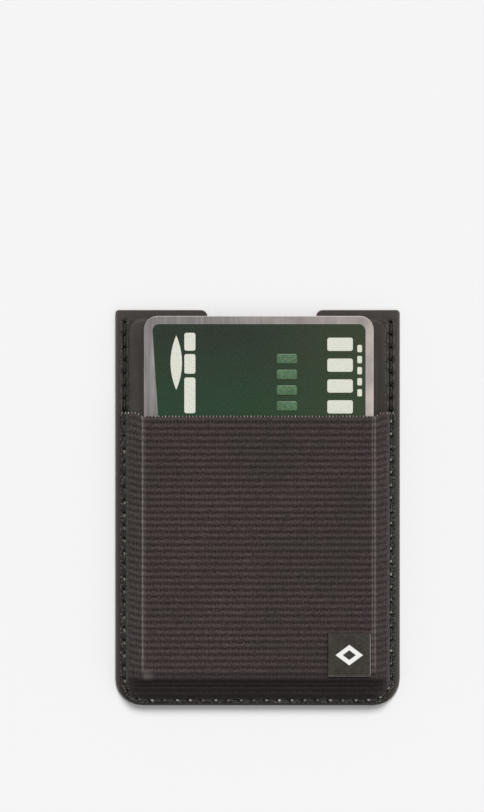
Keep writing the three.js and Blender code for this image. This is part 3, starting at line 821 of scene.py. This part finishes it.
def laid_length(y):
    """Length of webbing from the mouth down to a height, along the slope at the bottom."""
    inset = np.arange(0, MOUTH_Y - WEB_BOTTOM, SECTION_STEP)
    steps = np.hypot(np.diff(inset), np.diff(np.interp(inset, *BOTTOM_TOP)))
    from_bottom = np.concatenate([[0], np.cumsum(steps)])
    return from_bottom[-1] - np.interp(y - WEB_BOTTOM, inset, from_bottom)


def webbing_faces(rows, columns, low_rows):
    """A fine grid on top, a coarser one underneath, and the four edges between them."""
    width = columns + 1
    start = (rows + 1) * width
    faces = []
    for r in range(rows):
        for c in range(columns):
            a = r * width + c
            faces.append((a, a + width, a + width + 1, a + 1))
    for r in range(len(low_rows) - 1):
        for c in range(columns):
            a = start + r * width + c
            faces.append((a, a + 1, a + width + 1, a + width))
    last_low = start + (len(low_rows) - 1) * width
    for c in range(columns):
        faces.append((c, c + 1, start + c + 1, start + c))
        faces.append((rows * width + c + 1, rows * width + c, last_low + c, last_low + c + 1))
    for k in range(len(low_rows) - 1):
        first, second = int(low_rows[k]), int(low_rows[k + 1])
        for column, flip in ((0, False), (columns, True)):
            line = [r * width + column for r in range(first, second + 1)]
            face = [start + (k + 1) * width + column, *reversed(line), start + k * width + column]
            faces.append(tuple(reversed(face)) if flip else tuple(face))
    return faces


def webbing_marks(x, y, across, down, weave_u):
    """What the webbing's material reads, each from 0 to 1: painted highlight along the ridges with lighter
    threads fanning out, painted light on the side slopes, painted shade in the fold, below it and in the
    holes, and painted shade with lint in the sewn margin.
    """
    side_edge = card_edge(x)
    # Two pale lines along each ridge, painted highlight, the inner one strong on the right only
    off_ridge = np.abs(np.abs(x) - side_edge + LINE_OUT)
    off_second = np.where(np.abs(x) >= side_edge, NO_LINE, np.abs(off_ridge - LINE_GAP))
    outer = 1 - ramp(off_ridge, *OUTER_LINE)
    inner = np.where(x < 0, INNER_LEFT, INNER_RIGHT) * (1 - ramp(off_second, *INNER_LINE))
    above = y - card_low[1]
    lines = np.maximum(outer, inner) * ramp(above, *LINE_FOOT)
    # Light threads fan out inwards where the left ridge ends
    inwards = np.where(x < 0, side_edge + x, FAR)
    fan = ramp(inwards, *FAN_START) * (1 - ramp(inwards, *FAN_END))
    fan *= ramp(above, *FAN_FOOT) * (1 - ramp(above, *FAN_TOP))
    threads = 0.5 + 0.5 * np.cos(4 * np.pi * weave_u)
    # Painted shade in the fold over the card's lower end and below it
    over_fold = y - WEB_BOTTOM - bottom_card
    sewn = np.minimum(across - foot_in - MARGIN_EXTRA, down - SEAM_LEDGE)
    return {
        "ridge": np.maximum(lines * LINE_STRENGTH, fan * threads * FAN_STRENGTH),
        # Painted light on the side slopes, where the stretched weave shows little shade in its valleys
        "slope_light": ramp(np.abs(x) - side_edge, *SLOPE_LIGHT_START),
        "crease_shade": (1 - ramp(np.abs(over_fold), *CREASE_WIDTH)) * ramp(across, *CREASE_SIDE),
        "shade": (1 - ramp(over_fold, *SHADE_TOP)) * ramp(across, *SHADE_SIDE),
        "hole_shade": hole_nearness(x, y, DARK_HOLE),
        # Painted shade, with lint, in the sewn margin
        "margin_shade_and_lint": 1 - ramp(sewn, *MARGIN_END),
    }


def pocket_webbing():
    columns = 2 * round(WEB_HALF / (COLUMN_PITCH / COLUMN_STEPS))
    rows = round((MOUTH_Y - WEB_BOTTOM) / RIB_PITCH * ROWS_PER_RIB)
    u = np.linspace(-1, 1, columns + 1)
    row_y = MOUTH_Y - (MOUTH_Y - WEB_BOTTOM) * np.arange(rows + 1) / rows
    grid_y = np.repeat(row_y[:, None], columns + 1, axis=1)
    # Columns stay straight in the middle and are drawn in round the two lower corners
    edge = web_edge_x(row_y)[:, None]
    straight = u[None, :] * WEB_HALF
    drawn_in = ramp(np.abs(straight), CORNER_X - DRAWN_IN, WEB_HALF)
    x = straight - np.sign(u)[None, :] * (WEB_HALF - edge) * drawn_in
    y = lifted(x, grid_y)
    across = web_edge_x(y) - np.abs(x)
    down = y - web_edge_y(x)
    weave_u = straight / COLUMN_PITCH + np.zeros_like(grid_y)
    weave_v = laid_length(grid_y) / RIB_PITCH - 0.5
    crest = 0.5 + 0.5 * np.cos(2 * np.pi * weave_v)
    yarn = 0.5 + 0.5 * np.cos(2 * np.pi * weave_u)
    swell = ramp(across, foot_in, foot_in + RIB_FADE) * ramp(down, SEAM_LEDGE, SEAM_LEDGE + RIB_FADE)
    z = web_base(x, y, SIDE_TOP, BOTTOM_TOP) - seam_dip(x, y)
    z += swell * (RIB_HEIGHT * crest**CREST_SHAPE + COLUMN_HEIGHT * (yarn - 1) * (GAP_SHARE - crest))
    z += swell * FUZZ * (rng.random(z.shape) - 0.5)
    z -= HOLE_DEPTH * hole_nearness(x, y, HOLE_REACH)
    z -= (1 - ramp(MOUTH_Y - grid_y, 0, MOUTH_ROUND)) * MOUTH_DROP
    top = np.stack([x, y, z], axis=2)

    low_rows = np.unique(np.concatenate([
        [0, rows],
        np.linspace(0, rows * PLAIN_SHARE, PLAIN_ROWS).astype(int),
        np.linspace(rows * PLAIN_SHARE, rows, BENT_ROWS).astype(int),
    ]))
    low_x, low_y = x[low_rows], y[low_rows]
    low_z = web_base(low_x, low_y, SIDE_UNDER, BOTTOM_UNDER) + UNDER_GAP
    low = np.stack([low_x, low_y, low_z], axis=2)

    points = np.concatenate([top.reshape(-1, 3), low.reshape(-1, 3)])
    faces = webbing_faces(rows, columns, low_rows)
    webbing = make_object("webbing_pocket", points, faces, elastic, "webbing", ("pocket_webbing",))

    def for_all(values):
        return np.concatenate([np.ravel(values), np.zeros(low_x.size)])

    for name, values in webbing_marks(x, y, across, down, weave_u).items():
        set_values(webbing, name, for_all(values))
    corners = np.zeros(len(webbing.data.loops), int)
    webbing.data.loops.foreach_get("vertex_index", corners)
    coordinates = np.stack([for_all(weave_u), for_all(weave_v)], axis=1)[corners]
    webbing.data.uv_layers.new(name="weave").data.foreach_set("uv", coordinates.ravel())


# Lining, pressed over the board


def around_board(reach):
    high, low = board_high[1] + reach, board_low[1] - reach
    return rounded_outline(board_high[0] + reach, high, low, BOARD_RADIUS, BOARD_RADIUS)


def lining():
    outer = rounded_outline(
        lining_high[0], lining_high[1], lining_low[1], LINING_TOP_RADIUS, LINING_CORNER
    )
    foot = around_board(STEP_FOOT)
    hollow = around_board(LINING_CLEARANCE)
    rings = [
        at_height(hollow, foil_top + FOIL_GAP),
        at_height(hollow, cover_high[2]),
        at_height(outer, cover_high[2]),
        at_height(outer, FLANGE_Z - CUT_EDGE),
        at_height(outer + (foot - outer) * EDGE_SHARE, FLANGE_Z - CUT_ROUND),
    ]
    for share in np.linspace(FIRST_SHARE, 1.0, FLANGE_RINGS):
        ring = at_height(outer + (foot - outer) * share, FLANGE_Z)
        x, y, _ = ring.T
        ring[:, 2] -= seam_dip(x, y)
        ring[:, 2] -= HOLE_DEPTH * hole_nearness(x, y, HOLE_REACH)
        ring[:, 2] -= PUFF_DEPTH * hole_nearness(x, y, PUFF_REACH)
        rings.append(ring)
    for share in np.linspace(FIRST_SHARE, 1.0, STEP_RINGS):
        reach = STEP_FOOT + (STEP_CROWN - STEP_FOOT) * (1 - math.cos(share * math.pi / 2))
        rise = math.sin(share * math.pi / 2) ** STEP_ROUND
        rings.append(at_height(around_board(reach), FLANGE_Z + (LINING_TOP_Z - FLANGE_Z) * rise))
    rings += [at_height(around_board(reach), LINING_TOP_Z) for reach in TOP_RINGS]
    points, faces = loft(rings)
    obj = make_object("lining_leather", points, faces, lining_leather, "lining_leather", ("lining",))
    obj.data.polygons[len(faces) - 1].use_smooth = False
    x, y, z = points.T
    # Lighter along the edges: wear, and a painted highlight along the top edge, which faces the light
    at_edge = 1 - ramp(lining_high[0] - np.abs(x), *EDGE_WEAR_AND_HIGHLIGHT)
    at_top = 1 - ramp(lining_high[1] - y, *EDGE_WEAR_AND_HIGHLIGHT)
    # Between two holes the leather puffs up on both sides of the thread, and a painted highlight lies on the
    # puffs
    beside_thread = 1 - ramp(np.abs(seam_distance(x, y) - PUFF_FROM_SEAM), *PUFF_WIDTH)
    puff_highlight = (1 - hole_nearness(x, y, PUFF_LENGTH)) * beside_thread * (y < SEAM_TOP_Y)
    puff_highlight *= np.where(x > 0, 1.0, LEFT_PUFF_HIGHLIGHT)
    wear_and_highlight = np.maximum(np.maximum(at_edge, at_top) * EDGE_WEAR_AND_HIGHLIGHT_SHARE, puff_highlight)
    on_top = z > cover_high[2] + 0.1 * MM
    set_values(obj, "wear_and_highlight", wear_and_highlight * on_top)
    # The channel of the seam is darker from the step to just past the thread: painted shade, and leather
    # pressed darker
    past_step = ramp(np.abs(x) - board_half, *CHANNEL_START)
    past_seam = ramp(np.abs(x) - SEAM_X, *CHANNEL_END)
    set_values(obj, "channel_shade_and_lint", past_step * (1 - past_seam) * (y < SEAM_TOP_Y + CHANNEL_ABOVE))
    # Painted shade in the stitch holes and along the seam's groove
    in_groove = (1 - ramp(seam_distance(x, y), *GROOVE_WIDTH)) * GROOVE_SHADE
    set_values(obj, "hole_shade", np.maximum(hole_nearness(x, y, LINING_HOLE), in_groove))


def back_cover():
    cover = refined("back_cover", COVER_ROUND, cover_leather)
    for name in ("wear_and_highlight", "hole_shade", "channel_shade_and_lint"):
        set_values(cover, name, np.zeros(len(cover.data.vertices)))


# Threads: each stitch is two plies twisted together, from one hole to the next


def stitches(name, height_at, out, node):
    """out is 1 for stitches that lie on a face that looks up, and -1 for one that looks down."""
    points, faces, glints = [], [], []
    t = np.linspace(0, 1, STITCH_STEPS)
    arch = np.sin(np.pi * t)
    for start, end in zip(stitch_holes[:-1], stitch_holes[1:]):
        along = end - start
        length = np.linalg.norm(along)
        along = along / length
        side = np.array([-along[1], along[0]])
        slant = STITCH_SLANT * (1 + SLANT_SPREAD * (rng.random() - 0.5))
        reach = STITCH_START + STITCH_SHARE * t
        plan = start + along * (reach * length)[:, None] + side * (slant * np.cos(np.pi * t))[:, None]
        lift = STITCH_RISE * arch**RISE_SHAPE - STITCH_SINK * (1 - arch**SINK_SHAPE)
        centre = np.column_stack([plan, height_at(plan[:, 0], plan[:, 1]) + out * lift])
        turns = 2 * np.pi * (PLY_TURNS * t + rng.random())
        # A glint near the start of each stitch below the mouth, fainter on the left
        shine = SHINE_LEAST + SHINE_SPREAD * rng.random() ** SHINE_SHAPE
        shine *= (out > 0) * (start[1] < MOUTH_Y)
        if start[0] < -CORNER_X:
            shine *= LEFT_SHINE
        for ply in (0, np.pi):
            offset = PLY_RADIUS * PLY_OFFSET
            axis = centre.copy()
            axis[:, :2] += side * (offset * np.cos(turns + ply))[:, None]
            axis[:, 2] += out * offset * np.sin(turns + ply)
            faces += tube_faces(len(points), STITCH_STEPS, PLY_SIDES)
            for i in range(STITCH_STEPS):
                bright = shine * (SHINE_RINGS[0] <= i <= SHINE_RINGS[1])
                for k in range(PLY_SIDES):
                    angle = 2 * np.pi * k / PLY_SIDES
                    across = PLY_RADIUS * math.cos(angle)
                    glints.append(bright * (math.sin(angle) > SHINE_FACING))
                    points.append([
                        axis[i, 0] + side[0] * across,
                        axis[i, 1] + side[1] * across,
                        axis[i, 2] + PLY_RADIUS * math.sin(angle),
                    ])
    obj = make_object(name, np.array(points), faces, dark_thread, "thread", (node,))
    set_values(obj, "glint", glints)


def upper_surface(x, y):
    on_webbing = 1 - ramp(y - MOUTH_Y - MOUTH_RISE, *CLIMB)
    return FLANGE_Z + WEB_THICK * on_webbing - seam_dip(x, y) + UPPER_GAP


def lower_surface(x, _):
    return np.full(np.shape(x), LOWER_HEIGHT)


def mouth_loops():
    """Thread that binds the mouth's edge, pale as a painted highlight on its turns: a small loop over it at
    each warp yarn.
    """
    points, faces = [], []
    count = int(WEB_HALF * LOOP_SHARE / COLUMN_PITCH)
    for index in range(-count, count + 1):
        x = index * COLUMN_PITCH + LOOP_JITTER * (rng.random() - 0.5)
        y = float(lifted(np.array(x), np.array(MOUTH_Y)))
        z = float(web_base(np.array(x), np.array(y), SIDE_TOP, BOTTOM_TOP))
        radius = (LOOP_RADIUS + LOOP_SPREAD * rng.random()) * MM
        faces += tube_faces(len(points), LOOP_STEPS, LOOP_SIDES, flip=True)
        for i in range(LOOP_STEPS):
            turn = math.radians(LOOP_START + LOOP_TURN * i / (LOOP_STEPS - 1))
            cy = y - LOOP_BACK + LOOP_REACH * math.cos(turn)
            cz = z - LOOP_UNDER + LOOP_REACH * math.sin(turn)
            for k in range(LOOP_SIDES):
                angle = 2 * math.pi * k / LOOP_SIDES
                out = radius * math.cos(angle)
                points.append([
                    x + radius * math.sin(angle),
                    cy + out * math.cos(turn),
                    cz + out * math.sin(turn),
                ])
    make_object("mouth_binding", np.array(points), faces, lit_mouth_thread, "thread")


# Card and its print: plain shapes only


def slab(name, outline, low, high, material, edge=0.0):
    """A thin plate of an outline, with its upper edge rounded."""
    middle = (outline.min(axis=0) + outline.max(axis=0)) / 2
    size = (outline.max(axis=0) - outline.min(axis=0)) / 2
    rings = [at_height(outline, low)]
    for turn in np.radians(PAD_TURNS if edge else [0]):
        inset = edge * (1 - math.cos(turn))
        plan = middle + (outline - middle) * (1 - inset / size)
        rings.append(at_height(plan, high - edge + edge * math.sin(turn)))
    obj = make_object(name, *loft(rings), material, "card_plastic")
    obj.data.set_sharp_from_angle(angle=CREASE_ANGLE)


def plates(name, sizes, low, high, material, edge=0.0):
    for index, (x, y, half_x, half_y, radius) in enumerate(sizes):
        half_x, half_y, radius = half_x * MM, half_y * MM, radius * MM
        shape = rounded_outline(half_x, half_y, -half_y, radius, radius, corner=5, side=1, end=1)
        shape = shape + [CARD_MIDDLE + x * MM, y * MM]
        slab(f"{name}_{index + 1}", shape, low, high, material, edge)


def card():
    refined("card", CARD_ROUND, silver)
    half = (card_high[0] - card_low[0]) / 2 - CARD_BORDER
    top, bottom = card_high[1] - CARD_BORDER, card_low[1] + CARD_BORDER
    field = rounded_outline(half, top, bottom, FIELD_RADIUS, FIELD_RADIUS, corner=8, side=1, end=1)
    field = field + [CARD_MIDDLE, 0]
    # The field's left edge leans, so the border beside it widens towards the pocket
    left = field[:, 0] < CARD_MIDDLE
    field[left, 0] += FIELD_LEAN * (top - field[left, 1])
    slab("card_field", field, CARD_TOP_Z - FIELD_SINK, CARD_TOP_Z + INK, green)
    under, over = CARD_TOP_Z + PRINT_UNDER * INK, CARD_TOP_Z + PRINT_OVER * INK
    # Left: a pointed oval and three strips
    turn = np.linspace(-1, 1, OVAL_STEPS)
    side = np.column_stack([OVAL_HALF[0] * (1 - turn**2), OVAL_HALF[1] * turn])
    oval = np.concatenate([side, (side * [-1, 1])[-2:0:-1]])
    slab("card_oval", oval + [CARD_MIDDLE + OVAL_PLACE[0], OVAL_PLACE[1]], under, over, pale_print)
    plates("card_strip", STRIPS, under, over, pale_print)
    # Middle: four raised blank pads in a row
    plates("card_pad", PADS, under, CARD_TOP_Z + PAD_HEIGHT, foil_print, PAD_EDGE)
    # Right: four short blocks and a row of dashes beside them
    plates("card_block", BLOCKS, under, over, pale_print)
    plates("card_dash", DASHES, under, over, pale_print)


def label():
    patch = refined("label_patch", LABEL_ROUND, label_rubber)
    patch.data.materials.append(label_lit)
    for face in patch.data.polygons:
        tilted = face.normal.z < LIT_TILT
        lower_right = face.normal.y < -LIT_SIDE or face.normal.x > LIT_SIDE
        if tilted and lower_right and face.center.z > label_low[2] + LIT_HEIGHT:
            face.material_index = 1
    refined("label_mark", MARK_ROUND, mark_rubber)


def finish_hidden_nodes():
    """The pieces inside the wallet keep their solids and get a finish."""
    finishes = {
        "magnet_board": board_plastic,
        "ring_yoke": steel,
        "bar_yoke": steel,
        "shield_foil": steel,
        "bar_magnet": nickel,
    }
    for name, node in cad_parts.items():
        material = nickel if name.startswith("ring_magnet") else finishes.get(name)
        if material is not None:
            node.data.materials.clear()
            node.data.materials.append(material)


# Floor, light and camera


def floor():
    n = Nodes("pale_floor")
    dark, light = [(tone, tone, tone, 1) for tone in FLOOR_TONES]
    color = n.mix(n.spread(n.noise(3, 2), 0.3, 0.7), dark, light)
    signs = [(-1, -1), (1, -1), (1, 1), (-1, 1)]
    corners = [(x * FLOOR_REACH, y * FLOOR_REACH, -FLOOR_DROP) for x, y in signs]
    mesh = bpy.data.meshes.new("floor")
    mesh.from_pydata(corners, [], [(0, 1, 2, 3)])
    mesh.materials.append(n.finish(color, 0.95, specular=0.0))
    linked("floor", mesh)


def sun(name, strength, azimuth, elevation, spread):
    """azimuth is the side that the light comes from: 0 is +Y, 90 is +X."""
    lamp = bpy.data.lights.new(name, "SUN")
    lamp.energy = strength
    lamp.angle = math.radians(spread)
    obj = linked(name, lamp)
    a, e = math.radians(azimuth), math.radians(elevation)
    towards = Vector((math.sin(a) * math.cos(e), math.cos(a) * math.cos(e), math.sin(e)))
    obj.rotation_mode = "QUATERNION"
    obj.rotation_quaternion = towards.to_track_quat("Z", "Y")


def light():
    sun("key", strength=2.6, azimuth=8, elevation=46, spread=26)
    sun("side", strength=0.35, azimuth=110, elevation=40, spread=40)
    world = bpy.data.worlds.new("studio")
    bpy.context.scene.world = world
    world.use_nodes = True
    nodes, links = world.node_tree.nodes, world.node_tree.links
    background = nodes["Background"]
    background.inputs["Strength"].default_value = STUDIO_LIGHT
    background.inputs["Color"].default_value = (1, 1, 1, 1)
    # The camera, and gloss and glass, see a pale studio instead
    seen = nodes.new("ShaderNodeBackground")
    seen.inputs["Color"].default_value = (STUDIO_TONE, STUDIO_TONE, STUDIO_TONE, 1)
    path = nodes.new("ShaderNodeLightPath")
    both = nodes.new("ShaderNodeMath")
    both.operation = "ADD"
    links.new(path.outputs["Is Glossy Ray"], both.inputs[0])
    links.new(path.outputs["Is Transmission Ray"], both.inputs[1])
    total = nodes.new("ShaderNodeMath")
    total.operation = "ADD"
    total.use_clamp = True
    links.new(path.outputs["Is Camera Ray"], total.inputs[0])
    links.new(both.outputs[0], total.inputs[1])
    mix = nodes.new("ShaderNodeMixShader")
    links.new(total.outputs[0], mix.inputs[0])
    links.new(background.outputs[0], mix.inputs[1])
    links.new(seen.outputs[0], mix.inputs[2])
    links.new(mix.outputs[0], nodes["World Output"].inputs["Surface"])


def camera():
    data = bpy.data.cameras.new("camera")
    data.sensor_fit = "AUTO"
    data.sensor_width = SENSOR
    data.lens = CAMERA_LENS
    data.clip_start, data.clip_end = CAMERA_CLIP
    obj = linked("camera", data)
    obj.location = CAMERA_PLACE
    bpy.context.scene.camera = obj


bpy.context.scene.view_settings.view_transform = "Standard"
camera()
light()
floor()
back_cover()
lining()
pocket_webbing()
stitches("upper_stitches", upper_surface, 1, "upper_thread")
stitches("lower_stitches", lower_surface, -1, "lower_thread")
mouth_loops()
card()
label()
finish_hidden_nodes()
